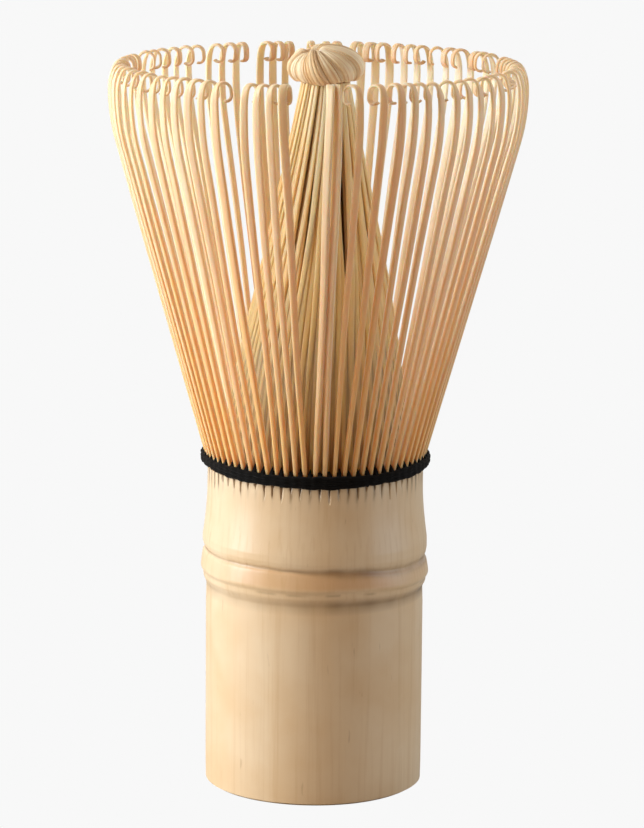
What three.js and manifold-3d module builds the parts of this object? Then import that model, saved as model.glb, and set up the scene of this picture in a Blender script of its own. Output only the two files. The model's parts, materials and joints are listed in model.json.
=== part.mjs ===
// A bamboo tea whisk: one culm whose upper wall is split into an outer ring of curled tines and an
// inner cone of tines twisted into a knot, laced with black thread at the foot of the splits.
// Millimetres, +Z up the handle, origin at the centre of the handle's bottom face, front towards -Y.
import * as THREE from "three";
import { mergeVertices } from "three/addons/utils/BufferGeometryUtils.js";
import Module from "manifold-3d";

const wasm = await Module();
wasm.setup();

// Handle
const handleRadius = 15.5; // at the foot and just under the thread
const handleSwell = 0.3; // how much thicker the culm is between its foot and its node
const handleHeight = 46.7; // up to the outer tines' roots
const wall = 3.3;
const footChamfer = 0.4;
const nodeHeight = 31.8; // crest of the culm's node ridge
const nodeRise = 1.1; // crest above the handle radius
const diaphragm = 2.6; // the wall that closes the culm at its node
const kerfDepth = 2.4; // how far the splits run down below the tines' roots
const kerfWidth = 0.4;

// Outer ring of tines
const rimHeight = 105.3; // top of the curls
const rimRadius = 29.9; // widest point, on the tines' shoulders
const tineWidth = 0.86;
const tineRoot = 1.1; // thickness from front to back at the root
const tineTip = 0.45; // the same at the curl
const rootRise = 1.9; // height of the root that the tines of one clump share
const bendRadius = 3; // where a tine leans out above its root
const shoulderRadius = 28; // where it turns upright again
const crookRadius = 3.6; // where the curl begins
const crookTurn = 40;
const curlRadius = 1.75;
const curlTurn = 205;

// Each clump of outer tines that moves together, in order round the ring: how many tines it has, how
// far its tips swing sideways and how much of their root spacing they keep, in degrees and as a share
const clumps = [
  { tines: 3, swing: 1.5, spread: 0.9 },
  { tines: 2, swing: 2.5, spread: 1 },
  { tines: 3, swing: 0.5, spread: 0.8 },
  { tines: 3, swing: -0.5, spread: 0.9 },
  { tines: 3, swing: -1, spread: 0.9 },
  { tines: 3, swing: 0.5, spread: 0.85 },
  { tines: 3, swing: 0, spread: 0.9 },
  { tines: 3, swing: -1, spread: 0.85 },
  { tines: 3, swing: 0.5, spread: 0.8 },
  { tines: 3, swing: 1, spread: 0.95 },
  { tines: 3, swing: 0.5, spread: 0.85 },
  { tines: 3, swing: -1.5, spread: 0.85 },
  { tines: 3, swing: -1.5, spread: 0.9 },
  { tines: 3, swing: -1.5, spread: 0.75 },
  { tines: 3, swing: -1, spread: 0.9 },
  { tines: 3, swing: 0, spread: 0.9 },
  { tines: 3, swing: -0.5, spread: 0.85 },
  { tines: 3, swing: 1, spread: 0.9 },
  { tines: 3, swing: 0, spread: 0.85 },
  { tines: 3, swing: -0.5, spread: 0.9 },
  { tines: 3, swing: -1, spread: 0.95 },
  { tines: 3, swing: -1, spread: 0.9 },
  { tines: 3, swing: -2.5, spread: 0.85 },
  { tines: 4, swing: -2, spread: 0.7 },
];
const tineCount = clumps.reduce((sum, clump) => sum + clump.tines, 0);
const tinePitch = 360 / tineCount;

// Inner cone of tines and its knot
const innerGroups = 24;
const innerWidth = 0.82; // of one inner tine at its root
const innerRoot = 0.9; // its thickness there
const innerTip = 0.5; // its thickness at the neck
const innerRootRise = 1.4;
const neckRadius = 3.9;
const neckFill = 0.75; // share of the neck's circumference that the tines take
const coneTwist = 12; // degrees that the tines turn round the axis on their way up
const coneShoulder = 0.5; // how far out the cone keeps before it closes, as a share of its foot
const knotRadius = 5.4;
const knotHeight = 6.5;
const knotTop = 108;
const knotLobes = 7;
const knotLobeDepth = 0.35;
const knotTwist = 70;

// Thread
const threadHeight = 1.8; // of the band that the turns make together
const threadOuter = 0.65; // thickness of the turns outside the outer tines
const threadInner = 0.6; // thickness of the turns between outer and inner tines

// Clearances
const restGap = 0.3; // between pieces that touch
const laceGap = 0.2; // round a tine where it passes the thread
const webGap = 0.12; // between a tine and the thread that passes beside it
const swayGap = 0.8; // over and under the ring on which the cone sways

const rootBottom = handleHeight + restGap;
const tineFace = handleRadius + 0.1; // outer face of the outer tines' roots
const tineCentre = tineFace - tineRoot / 2;
const threadBottom = handleHeight + laceGap;
const innerTurnFace = tineFace - tineRoot - laceGap;
const coneFace = innerTurnFace - threadInner - 2 * laceGap; // outer face of the inner tines' roots
const coneCentre = coneFace - innerRoot / 2;
const ringBottom = handleHeight - 0.7;
const ringHeight = 0.7;
const coneBottom = ringBottom + ringHeight + swayGap;
const neckHeight = knotTop - knotHeight - restGap;

const radians = THREE.MathUtils.degToRad;

// A point at an azimuth (degrees from the front, towards +X), a distance from the axis, an offset to
// the side and a height.
function place(azimuth, radius, side, height) {
  const turn = radians(azimuth);
  const x = Math.sin(turn) * radius + Math.cos(turn) * side;
  const y = -Math.cos(turn) * radius + Math.sin(turn) * side;
  return new THREE.Vector3(x, y, height);
}

// Turns a closed geometry into a manifold solid.
function solid(geometry) {
  const bare = geometry.clone();
  bare.deleteAttribute("normal");
  bare.deleteAttribute("uv");
  const merged = mergeVertices(bare, 1e-4);
  const mesh = new wasm.Mesh({
    numProp: 3,
    vertProperties: merged.attributes.position.array,
    triVerts: new Uint32Array(merged.index.array),
  });
  return new wasm.Manifold(mesh);
}

// Turns a manifold solid back into a geometry.
function geometryOf(shape) {
  const mesh = shape.getMesh();
  const geometry = new THREE.BufferGeometry();
  geometry.setAttribute("position", new THREE.BufferAttribute(mesh.vertProperties, 3));
  geometry.setIndex(new THREE.BufferAttribute(mesh.triVerts, 1));
  geometry.computeVertexNormals();
  return geometry;
}

// A closed body through a row of four-cornered sections, each a list of points in the same order:
// back left, back right, front right, front left as seen from outside the whisk.
function loft(sections) {
  const corners = 4;
  const positions = sections.flat().flatMap((point) => point.toArray());
  const index = [];
  for (let row = 0; row < sections.length - 1; row++) {
    for (let corner = 0; corner < corners; corner++) {
      const a = row * corners + corner;
      const b = row * corners + ((corner + 1) % corners);
      index.push(a, b + corners, b, a, a + corners, b + corners);
    }
  }
  const last = (sections.length - 1) * corners;
  index.push(0, 1, 2, 0, 2, 3, last, last + 2, last + 1, last, last + 3, last + 2);
  const geometry = new THREE.BufferGeometry();
  geometry.setAttribute("position", new THREE.Float32BufferAttribute(positions, 3));
  geometry.setIndex(index);
  return geometry;
}

// A closed arc of the wall between two azimuths, two radii and two heights.
function arcBlock(from, to, inner, outer, bottom, top) {
  const steps = Math.max(1, Math.round((to - from) / tinePitch));
  const sections = [];
  for (let step = 0; step <= steps; step++) {
    const azimuth = from + ((to - from) * step) / steps;
    sections.push([
      place(azimuth, inner, 0, bottom),
      place(azimuth, outer, 0, bottom),
      place(azimuth, outer, 0, top),
      place(azimuth, inner, 0, top),
    ]);
  }
  return solid(loft(sections));
}

// A lathe about Z from [radius, height] points that start and end on the axis or close on themselves.
function turned(points, segments) {
  const profile = points.map(([radius, height]) => new THREE.Vector2(radius, height));
  return new THREE.LatheGeometry(profile, segments).rotateX(Math.PI / 2);
}

function handleGeometry() {
  const waist = handleRadius + handleSwell;
  const crest = handleRadius + nodeRise;
  const bore = handleRadius - wall;
  const ledge = ringBottom - swayGap; // the inner tines split off lower than the outer ones
  const ledgeRadius = innerTurnFace - threadInner - laceGap;
  const floor = nodeHeight - diaphragm / 2;
  const culm = turned(
    [
      [0, floor],
      [bore, floor - 0.6],
      [bore, 0],
      [handleRadius - footChamfer, 0],
      [handleRadius, footChamfer],
      [waist, 5],
      [waist, nodeHeight - 2.1],
      [crest - 0.2, nodeHeight - 1],
      [crest, nodeHeight],
      [crest - 0.6, nodeHeight + 2.5],
      [crest - 0.35, nodeHeight + 3.3],
      [crest - 0.5, nodeHeight + 5],
      [waist - 0.05, nodeHeight + 7.7],
      [handleRadius, nodeHeight + 10.7],
      [handleRadius, handleHeight],
      [ledgeRadius, handleHeight],
      [ledgeRadius, ledge],
      [bore, ledge],
      [bore, floor + diaphragm + 0.6],
      [0, floor + diaphragm],
    ],
    48,
  );
  return geometryOf(solid(culm).subtract(kerfs()));
}

// The splits between neighbouring outer tines, as wedges that narrow downwards.
function kerfs() {
  const inner = innerTurnFace;
  const outer = handleRadius + handleSwell + nodeRise;
  const top = handleHeight + restGap;
  const bottom = handleHeight - kerfDepth;
  const outline = new THREE.Shape();
  outline.moveTo(-kerfWidth / 2, top);
  outline.lineTo(0, bottom);
  outline.lineTo(kerfWidth / 2, top);
  const options = { depth: outer - inner, bevelEnabled: false };
  const wedge = new THREE.ExtrudeGeometry(outline, options).translate(0, 0, inner).rotateX(Math.PI / 2);
  const wedges = [];
  for (let tine = 0; tine < tineCount; tine++) {
    wedges.push(solid(wedge.clone().rotateZ(radians((tine + 0.5) * tinePitch))));
  }
  return wasm.Manifold.union(wedges);
}

// Where an outer tine runs, as [distance from the axis, height, lean in degrees] from root to tip. Its
// lean is solved so that the curl's top is at rimHeight and the shoulder's outer face at rimRadius.
function tinePath() {
  const arcs = bendRadius + shoulderRadius;
  const curlRise = crookRadius * Math.sin(radians(crookTurn)) +
    curlRadius * (1 - Math.sin(radians(crookTurn))) + tineTip / 2;
  const rise = rimHeight - rootBottom - rootRise - curlRise;
  const reach = rimRadius - tineTip / 2 - tineCentre - arcs;
  const straight = Math.sqrt(rise * rise + reach * reach - arcs * arcs);
  const lean = THREE.MathUtils.radToDeg(Math.atan2(reach, rise) + Math.atan2(arcs, straight));
  const path = [[tineCentre, rootBottom, 0]];
  const go = (length) => {
    const [radius, height, angle] = path[path.length - 1];
    const turn = radians(angle);
    path.push([radius + length * Math.sin(turn), height + length * Math.cos(turn), angle]);
  };
  const bend = (bendTo, degrees, steps) => {
    for (let step = 0; step < steps; step++) {
      const [radius, height, angle] = path[path.length - 1];
      const half = radians(angle + degrees / steps / 2);
      const chord = 2 * bendTo * Math.sin(radians(Math.abs(degrees) / steps / 2));
      const next = angle + degrees / steps;
      path.push([radius + chord * Math.sin(half), height + chord * Math.cos(half), next]);
    }
  };
  go(rootRise);
  bend(bendRadius, lean, 1);
  go(straight);
  bend(shoulderRadius, -lean, 2);
  bend(crookRadius, -crookTurn, 1);
  bend(curlRadius, -curlTurn, 4);
  return path;
}

// One outer tine: its root is at an azimuth, and its tip drifts sideways by an angle round the rim.
function outerTine(azimuth, drift) {
  const path = tinePath();
  const sections = path.map(([radius, height, lean], at) => {
    const risen = (height - rootBottom) / (rimHeight - rootBottom);
    const side = risen * radians(drift) * rimRadius;
    const half = THREE.MathUtils.lerp(tineRoot, tineTip, at < 3 ? 0 : Math.min(1, risen)) / 2;
    const out = half * Math.cos(radians(lean));
    const down = half * Math.sin(radians(lean));
    return [
      place(azimuth, radius - out, side - tineWidth / 2, height + down),
      place(azimuth, radius - out, side + tineWidth / 2, height + down),
      place(azimuth, radius + out, side + tineWidth / 2, height - down),
      place(azimuth, radius + out, side - tineWidth / 2, height - down),
    ];
  });
  return solid(loft(sections));
}

// The azimuths of a clump's first and last roots, counted from the tines before it.
function clumpSpan(number) {
  const before = clumps.slice(0, number).reduce((sum, clump) => sum + clump.tines, 0);
  return [before * tinePitch, (before + clumps[number].tines - 1) * tinePitch];
}

function clumpGeometry(number) {
  const { swing, spread } = clumps[number];
  const [first, last] = clumpSpan(number);
  const middle = (first + last) / 2;
  const edge = THREE.MathUtils.radToDeg(tineWidth / 2 / tineFace);
  const face = [tineFace - tineRoot, tineFace];
  const root = arcBlock(first - edge, last + edge, ...face, rootBottom, rootBottom + rootRise - 0.1);
  const pieces = [root];
  for (let azimuth = first; azimuth < last + tinePitch / 2; azimuth += tinePitch) {
    pieces.push(outerTine(azimuth, swing + (azimuth - middle) * (spread - 1)));
  }
  return geometryOf(wasm.Manifold.union(pieces));
}

// One inner tine, from the cone's foot up to the neck under the knot.
function innerTine(azimuth) {
  const reach = neckHeight - coneBottom;
  const line = new THREE.CubicBezierCurve(
    new THREE.Vector2(coneCentre, coneBottom),
    new THREE.Vector2(coneCentre, coneBottom + reach * 0.4),
    new THREE.Vector2(coneCentre * coneShoulder, coneBottom + reach * 0.7),
    new THREE.Vector2(neckRadius, neckHeight),
  );
  const neckWidth = (2 * Math.PI * (neckRadius - innerTip / 2) * neckFill) / tineCount;
  const sections = [0, 0.3, 0.6, 0.85, 1].map((share) => {
    const at = line.getPoint(share);
    const width = THREE.MathUtils.lerp(innerWidth, neckWidth, share);
    const half = THREE.MathUtils.lerp(innerRoot, innerTip, share) / 2;
    const turn = azimuth + coneTwist * share * share;
    return [
      place(turn, at.x - half, -width / 2, at.y),
      place(turn, at.x - half, width / 2, at.y),
      place(turn, at.x + half, width / 2, at.y),
      place(turn, at.x + half, -width / 2, at.y),
    ];
  });
  return solid(loft(sections));
}

function innerGroupGeometry(number) {
  const tines = tineCount / innerGroups;
  const first = (number * tines + 0.5) * tinePitch;
  const last = first + (tines - 1) * tinePitch;
  const edge = THREE.MathUtils.radToDeg(innerWidth / 2 / coneFace);
  const face = [coneFace - innerRoot, coneFace];
  const root = arcBlock(first - edge, last + edge, ...face, coneBottom, coneBottom + innerRootRise);
  const pieces = [root];
  for (let tine = 0; tine < tines; tine++) {
    pieces.push(innerTine(first + tine * tinePitch));
  }
  return geometryOf(wasm.Manifold.union(pieces));
}

// The ring of uncut wall from which the inner tines rise, and on which their cone sways.
function rootRingGeometry() {
  const inner = coneFace - innerRoot;
  return turned(
    [
      [inner, ringBottom],
      [coneFace, ringBottom],
      [coneFace, ringBottom + ringHeight],
      [inner, ringBottom + ringHeight],
      [inner, ringBottom],
    ],
    48,
  );
}

// The folded tips of the inner tines: a flattened ball with lobes that wind round it.
function knotGeometry() {
  const points = [];
  const steps = 9;
  for (let step = 0; step <= steps; step++) {
    const turn = -90 + (180 * step) / steps;
    points.push([
      step % steps === 0 ? 0 : knotRadius * Math.cos(radians(turn)) ** 0.8,
      knotTop - knotHeight / 2 + (knotHeight / 2) * Math.sin(radians(turn)),
    ]);
  }
  const ball = turned(points, 4 * knotLobes);
  const position = ball.attributes.position;
  for (let at = 0; at < position.count; at++) {
    const across = Math.hypot(position.getX(at), position.getY(at));
    const azimuth = Math.atan2(position.getY(at), position.getX(at));
    const risen = (position.getZ(at) - knotTop + knotHeight) / knotHeight;
    const wave = Math.cos(knotLobes * (azimuth + radians(knotTwist) * risen));
    const shrink = 1 - (knotLobeDepth * (1 - wave)) / 2 / knotRadius;
    position.setX(at, position.getX(at) * (across > 0 ? shrink : 1));
    position.setY(at, position.getY(at) * (across > 0 ? shrink : 1));
  }
  return ball;
}

// The lacing: turns outside the outer tines and turns inside them, joined between the clumps, so that
// each clump's root stands in a window of its own.
function threadGeometry() {
  const outer = tineFace + laceGap + threadOuter;
  const inner = innerTurnFace - threadInner;
  const band = new THREE.Shape().absarc(0, 0, outer, 0, 2 * Math.PI, false);
  band.holes.push(new THREE.Path().absarc(0, 0, inner, 0, 2 * Math.PI, true));
  const edge = THREE.MathUtils.radToDeg((tineWidth / 2 + webGap) / tineFace);
  clumps.forEach((clump, number) => {
    const [first, last] = clumpSpan(number);
    band.holes.push(threadWindow(first - edge, last + edge));
  });
  const options = { depth: threadHeight, bevelEnabled: false, curveSegments: tineCount / 2 };
  return new THREE.ExtrudeGeometry(band, options).translate(0, 0, threadBottom);
}

// A clump's window through the band, as an outline seen from above.
function threadWindow(from, to) {
  const near = innerTurnFace;
  const far = tineFace + laceGap;
  const steps = Math.ceil((to - from) / tinePitch);
  const path = new THREE.Path();
  const corners = [];
  for (let step = 0; step <= steps; step++) {
    corners.push(place(from + ((to - from) * step) / steps, far, 0, 0));
  }
  for (let step = steps; step >= 0; step--) {
    corners.push(place(from + ((to - from) * step) / steps, near, 0, 0));
  }
  path.setFromPoints(corners.map((corner) => new THREE.Vector2(corner.x, corner.y)));
  return path;
}

const bambooSkin = { color: 0xe3c79a, roughness: 0.45, metalness: 0 };
const bambooTine = { color: 0xdcb37a, roughness: 0.6, metalness: 0 };
const bambooPith = { color: 0xd2a468, roughness: 0.7, metalness: 0 };
const blackThread = { color: 0x1b1714, roughness: 0.9, metalness: 0 };

function piece(name, geometry, look) {
  const mesh = new THREE.Mesh(geometry, new THREE.MeshStandardMaterial(look));
  mesh.name = name;
  return mesh;
}

function numbered(name, number) {
  return name + "_" + String(number + 1).padStart(2, "0");
}

const whisk = new THREE.Group();
whisk.add(piece("handle", handleGeometry(), bambooSkin));
whisk.add(piece("lacing_thread", threadGeometry(), blackThread));

const ring = new THREE.Group();
for (let number = 0; number < clumps.length; number++) {
  ring.add(piece(numbered("outer_tines", number), clumpGeometry(number), bambooTine));
}
whisk.add(ring);

const cone = new THREE.Group();
cone.add(piece("inner_root_ring", rootRingGeometry(), bambooPith));
for (let number = 0; number < innerGroups; number++) {
  cone.add(piece(numbered("inner_tines", number), innerGroupGeometry(number), bambooPith));
}
cone.add(piece("knot", knotGeometry(), bambooPith));
whisk.add(cone);

export default whisk;
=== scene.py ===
import json
import math
import random

import bmesh
import bpy
import numpy as np
from mathutils import Euler, Matrix, Vector, noise


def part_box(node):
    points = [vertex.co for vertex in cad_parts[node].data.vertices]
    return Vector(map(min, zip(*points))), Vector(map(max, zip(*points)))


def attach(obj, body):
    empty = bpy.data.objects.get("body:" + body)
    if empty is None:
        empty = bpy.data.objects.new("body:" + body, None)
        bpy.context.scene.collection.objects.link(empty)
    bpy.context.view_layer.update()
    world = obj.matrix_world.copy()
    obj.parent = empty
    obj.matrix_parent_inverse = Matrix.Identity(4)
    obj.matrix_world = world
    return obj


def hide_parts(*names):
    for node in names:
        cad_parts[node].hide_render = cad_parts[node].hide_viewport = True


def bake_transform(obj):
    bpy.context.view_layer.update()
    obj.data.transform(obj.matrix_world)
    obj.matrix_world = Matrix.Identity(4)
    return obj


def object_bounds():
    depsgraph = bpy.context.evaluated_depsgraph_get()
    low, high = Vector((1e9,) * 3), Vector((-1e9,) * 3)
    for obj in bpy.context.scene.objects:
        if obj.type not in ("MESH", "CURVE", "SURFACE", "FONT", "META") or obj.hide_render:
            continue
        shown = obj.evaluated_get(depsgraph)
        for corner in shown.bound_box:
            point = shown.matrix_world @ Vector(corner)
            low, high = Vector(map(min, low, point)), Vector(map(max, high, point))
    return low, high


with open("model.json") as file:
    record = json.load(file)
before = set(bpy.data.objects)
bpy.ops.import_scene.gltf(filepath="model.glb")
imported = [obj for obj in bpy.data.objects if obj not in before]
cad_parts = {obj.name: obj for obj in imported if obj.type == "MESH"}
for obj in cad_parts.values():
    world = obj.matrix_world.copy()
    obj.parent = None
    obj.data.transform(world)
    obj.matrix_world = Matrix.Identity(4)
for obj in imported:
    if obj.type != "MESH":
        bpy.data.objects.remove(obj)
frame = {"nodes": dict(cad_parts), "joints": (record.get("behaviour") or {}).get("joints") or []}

# A bamboo tea whisk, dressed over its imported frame. Metres, +Z up the handle, front towards -Y.
mm = 0.001
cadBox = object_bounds()
chance = random.Random(11)  # for each strip's small differences
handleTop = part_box("handle")[1].z
threadBottom, threadTop = (corner.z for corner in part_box("lacing_thread"))
axisPoint = (0.0, 0.0, 0.0)
upward = np.array([0, 0, 1])


def deselectAll():
    bpy.ops.object.select_all(action="DESELECT")


def startPiece(name):
    # names the primitive that was just added and opens it for editing
    piece = bpy.context.object
    piece.name = name
    piece.data.name = name
    bpy.ops.object.mode_set(mode="EDIT")
    bpy.ops.mesh.select_all(action="SELECT")
    return piece


def pick(piece, kind, test):
    # in edit mode, selects only the parts that pass the test
    bpy.ops.mesh.select_mode(type=kind)
    bpy.ops.mesh.select_all(action="DESELECT")
    shape = bmesh.from_edit_mesh(piece.data)
    for part in {"VERT": shape.verts, "EDGE": shape.edges, "FACE": shape.faces}[kind]:
        if test(part):
            part.select = True
    shape.select_flush_mode()
    bmesh.update_edit_mesh(piece.data)


def finishPiece(piece, angle=40):
    # leaves edit mode with the place in the mesh and smooth shading
    bpy.ops.object.mode_set(mode="OBJECT")
    bpy.ops.object.transform_apply(location=True, rotation=True, scale=True)
    bpy.ops.object.shade_smooth_by_angle(angle=math.radians(angle))
    deselectAll()
    return piece


def applied(piece, kind, **settings):
    # adds one modifier and applies it
    deselectAll()
    piece.select_set(True)
    bpy.context.view_layer.objects.active = piece
    modifier = piece.modifiers.new(kind, kind)
    for key, value in settings.items():
        setattr(modifier, key, value)
    bpy.ops.object.modifier_apply(modifier=modifier.name)
    deselectAll()


def copied(master, name):
    piece = master.copy()
    piece.data = master.data.copy()
    piece.name = name
    piece.data.name = name
    bpy.context.collection.objects.link(piece)
    return piece


def joined(pieces, name):
    deselectAll()
    for piece in pieces:
        piece.select_set(True)
    bpy.context.view_layer.objects.active = pieces[0]
    if len(pieces) > 1:
        bpy.ops.object.join()
    pieces[0].name = name
    pieces[0].data.name = name
    deselectAll()
    return pieces[0]


def discard(piece):
    bpy.data.objects.remove(piece, do_unlink=True)


def points(piece):
    flat = np.empty(len(piece.data.vertices) * 3)
    piece.data.vertices.foreach_get("co", flat)
    return flat.reshape(-1, 3)


def placePoints(piece, where):
    piece.data.vertices.foreach_set("co", np.ascontiguousarray(where).ravel())
    piece.data.update()


def storeValue(piece, name, values):
    # a number for each vertex, for the materials
    layer = piece.data.attributes.get(name) or piece.data.attributes.new(name, "FLOAT", "POINT")
    layer.data.foreach_set("value", np.asarray(values, dtype=np.float32))


def storeVector(piece, name, values):
    layer = piece.data.attributes.get(name) or piece.data.attributes.new(name, "FLOAT_VECTOR", "POINT")
    layer.data.foreach_set("vector", np.asarray(values, dtype=np.float32).ravel())


def smoothStep(low, high, values):
    share = np.clip((np.asarray(values) - low) / (high - low), 0, 1)
    return share * share * (3 - 2 * share)


def linearColour(hexCode):
    parts = [int(hexCode[at:at + 2], 16) / 255 for at in (1, 3, 5)]
    parts = [part / 12.92 if part <= 0.04045 else ((part + 0.055) / 1.055) ** 2.4 for part in parts]
    return (*parts, 1.0)


def addNode(tree, kind, settings=None, links=None):
    # settings fill sockets by name or set the node's own options; links are {socket: (node, output)}
    node = tree.nodes.new(kind)
    for key, value in (settings or {}).items():
        if key == "stops":
            ramp = node.color_ramp
            while len(ramp.elements) < len(value):
                ramp.elements.new(0.5)
            for element, (place, colour) in zip(ramp.elements, value):
                element.position = place
                element.color = colour if len(colour) == 4 else (*colour, 1.0)
        elif isinstance(key, str) and hasattr(node, key):
            setattr(node, key, value)
        else:
            node.inputs[key].default_value = value
    for key, (source, output) in (links or {}).items():
        tree.links.new(source.outputs[output], node.inputs[key])
    return node


def newMaterial(name):
    material = bpy.data.materials.new(name)
    material.use_nodes = True
    tree = material.node_tree
    tree.nodes.clear()
    return material, tree


def dress(piece, *materials):
    piece.data.materials.clear()
    for material in materials:
        piece.data.materials.append(material)


# the skin's dark mark colour is both dirt in the node's groove and painted shade under the ridge and lip, in
# the kerfs and on the node's shaded side
culmLook = {
    "pale": "#E9CDA9", "tan": "#E2C096", "streak": "#CFA777", "speck": "#8A5A2C", "dirt": "#6E4A25",
    "blush": "#D79A5E", "split": "#6A421C", "splits": 72,
    "roughness": 0.34, "fibreWidth": 0.9 * mm, "specular": 0.5,
}


def makeBambooSkin():
    # bamboo skin, scraped and dried: satin, pale straw, with long faint fibre streaks, a few dark specks,
    # splits under the thread, dirt in the node's groove, and painted shade under its ridge and lip, in the
    # kerfs and on its shaded side
    look = culmLook
    material, tree = newMaterial("bambooSkin")
    place = addNode(tree, "ShaderNodeTexCoord")
    long = addNode(tree, "ShaderNodeMapping", {"Scale": (1, 1, 0.025)}, {"Vector": (place, "Object")})
    fibres = addNode(tree, "ShaderNodeTexNoise",
                     {"Scale": 1 / look["fibreWidth"], "Detail": 5.0, "Roughness": 0.6},
                     {"Vector": (long, "Vector")})
    bands = addNode(tree, "ShaderNodeTexNoise",
                    {"Scale": 0.22 / look["fibreWidth"], "Detail": 3.0, "Roughness": 0.5},
                    {"Vector": (long, "Vector")})
    clouds = addNode(tree, "ShaderNodeTexNoise", {"Scale": 90.0, "Detail": 3.0},
                     {"Vector": (place, "Object")})
    short = addNode(tree, "ShaderNodeMapping", {"Scale": (1, 1, 0.18)}, {"Vector": (place, "Object")})
    specks = addNode(tree, "ShaderNodeTexNoise", {"Scale": 1300.0, "Detail": 2.0},
                     {"Vector": (short, "Vector")})
    ground = addNode(tree, "ShaderNodeValToRGB",
                     {"stops": [(0.36, linearColour(look["tan"])), (0.6, linearColour(look["pale"]))]},
                     {"Fac": (clouds, "Fac")})
    bandShare = addNode(tree, "ShaderNodeMapRange", {"From Min": 0.42, "From Max": 0.72, "To Max": 0.4},
                        {"Value": (bands, "Fac")})
    banded = addNode(tree, "ShaderNodeMix", {"data_type": "RGBA", 7: linearColour(look["tan"])},
                     {0: (bandShare, "Result"), 6: (ground, "Color")})
    fibreShare = addNode(tree, "ShaderNodeMapRange", {"From Min": 0.5, "From Max": 0.78, "To Max": 0.5},
                         {"Value": (fibres, "Fac")})
    streaked = addNode(tree, "ShaderNodeMix", {"data_type": "RGBA", 7: linearColour(look["streak"])},
                       {0: (fibreShare, "Result"), 6: (banded, 2)})
    speckShare = addNode(tree, "ShaderNodeMapRange", {"From Min": 0.71, "From Max": 0.77, "To Max": 0.2},
                         {"Value": (specks, "Fac")})
    specked = addNode(tree, "ShaderNodeMix", {"data_type": "RGBA", 7: linearColour(look["speck"])},
                      {0: (speckShare, "Result"), 6: (streaked, 2)})
    blush = addNode(tree, "ShaderNodeAttribute", {"attribute_name": "blush"})
    blushed = addNode(tree, "ShaderNodeMix", {"data_type": "RGBA", 7: linearColour(look["blush"])},
                      {0: (blush, "Fac"), 6: (specked, 2)})
    fray = addNode(tree, "ShaderNodeAttribute", {"attribute_name": "fray"})
    flat = addNode(tree, "ShaderNodeSeparateXYZ", None, {"Vector": (place, "Object")})
    around = addNode(tree, "ShaderNodeMath", {"operation": "ARCTAN2"}, {0: (flat, "X"), 1: (flat, "Y")})
    # dark splits run down from the thread, one between each two tines, ragged and of uneven length
    ragged = addNode(tree, "ShaderNodeTexNoise", {"Scale": 500.0, "Detail": 1.0},
                     {"Vector": (place, "Object")})
    jitter = addNode(tree, "ShaderNodeMapRange",
                     {"From Min": 0.3, "From Max": 0.7, "To Min": -0.2, "To Max": 0.2},
                     {"Value": (ragged, "Fac")})
    counted = addNode(tree, "ShaderNodeMath", {"operation": "MULTIPLY_ADD", 1: look["splits"] / math.tau},
                      {0: (around, "Value"), 2: (jitter, "Result")})
    whole = addNode(tree, "ShaderNodeMath", {"operation": "FLOOR"}, {0: (counted, "Value")})
    part = addNode(tree, "ShaderNodeMath", {"operation": "FRACT"}, {0: (counted, "Value")})
    aside = addNode(tree, "ShaderNodeMath", {"operation": "SUBTRACT", 1: 0.5}, {0: (part, "Value")})
    offset = addNode(tree, "ShaderNodeMath", {"operation": "ABSOLUTE"}, {0: (aside, "Value")})
    drawn = addNode(tree, "ShaderNodeTexWhiteNoise", {"noise_dimensions": "1D"}, {"W": (whole, "Value")})
    start = addNode(tree, "ShaderNodeMapRange", {"To Min": 0.45, "To Max": 0.9},
                    {"Value": (drawn, "Value")})
    opened = addNode(tree, "ShaderNodeMapRange", {"From Max": 1.0, "To Min": -0.2, "To Max": 0.3},
                     {"Value": (fray, "Fac"), "From Min": (start, "Result")})
    edge = addNode(tree, "ShaderNodeMath", {"operation": "SUBTRACT"},
                   {0: (opened, "Result"), 1: (offset, "Value")})
    splitDepth = addNode(tree, "ShaderNodeMapRange", {"To Min": 0.2, "To Max": 0.9},
                         {"Value": (drawn, "Value")})
    splitShare = addNode(tree, "ShaderNodeMapRange", {"From Min": -0.06, "From Max": 0.2},
                         {"Value": (edge, "Value"), "To Max": (splitDepth, "Result")})
    split = addNode(tree, "ShaderNodeMix", {"data_type": "RGBA", 7: linearColour(look["split"])},
                    {0: (splitShare, "Result"), 6: (blushed, 2)})
    # the dark mark: dirt in the groove, and painted shade under the ridge and lip, in the kerfs and on the
    # shaded side
    dirt = addNode(tree, "ShaderNodeAttribute", {"attribute_name": "dirt"})
    dirtAndShadeBreak = addNode(tree, "ShaderNodeMapRange",
                        {"From Min": 0.3, "From Max": 0.65, "To Min": 0.75, "To Max": 1.05},
                        {"Value": (clouds, "Fac")})
    dirtAndShadeShare = addNode(tree, "ShaderNodeMath", {"operation": "MULTIPLY", "use_clamp": True},
                        {0: (dirt, "Fac"), 1: (dirtAndShadeBreak, "Result")})
    dirtAndShadeMixed = addNode(tree, "ShaderNodeMix", {"data_type": "RGBA", 7: linearColour(look["dirt"])},
                    {0: (dirtAndShadeShare, "Value"), 6: (split, 2)})
    rough = addNode(tree, "ShaderNodeMapRange",
                    {"To Min": look["roughness"] - 0.05, "To Max": look["roughness"] + 0.12},
                    {"Value": (fibres, "Fac")})
    bump = addNode(tree, "ShaderNodeBump", {"Strength": 0.35, "Distance": 0.06 * mm},
                   {"Height": (fibres, "Fac")})
    shader = addNode(tree, "ShaderNodeBsdfPrincipled", {"Specular IOR Level": look["specular"]},
                     {"Base Color": (dirtAndShadeMixed, 2), "Roughness": (rough, "Result"), "Normal": (bump, "Normal")})
    addNode(tree, "ShaderNodeOutputMaterial", None, {"Surface": (shader, "BSDF")})
    return material


cutLook = {
    "ground": "#D9B682", "cloud": "#C69C63", "bundle": "#8C5E30",
    "bundleSize": 0.45 * mm, "roughness": 0.75,
}


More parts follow.
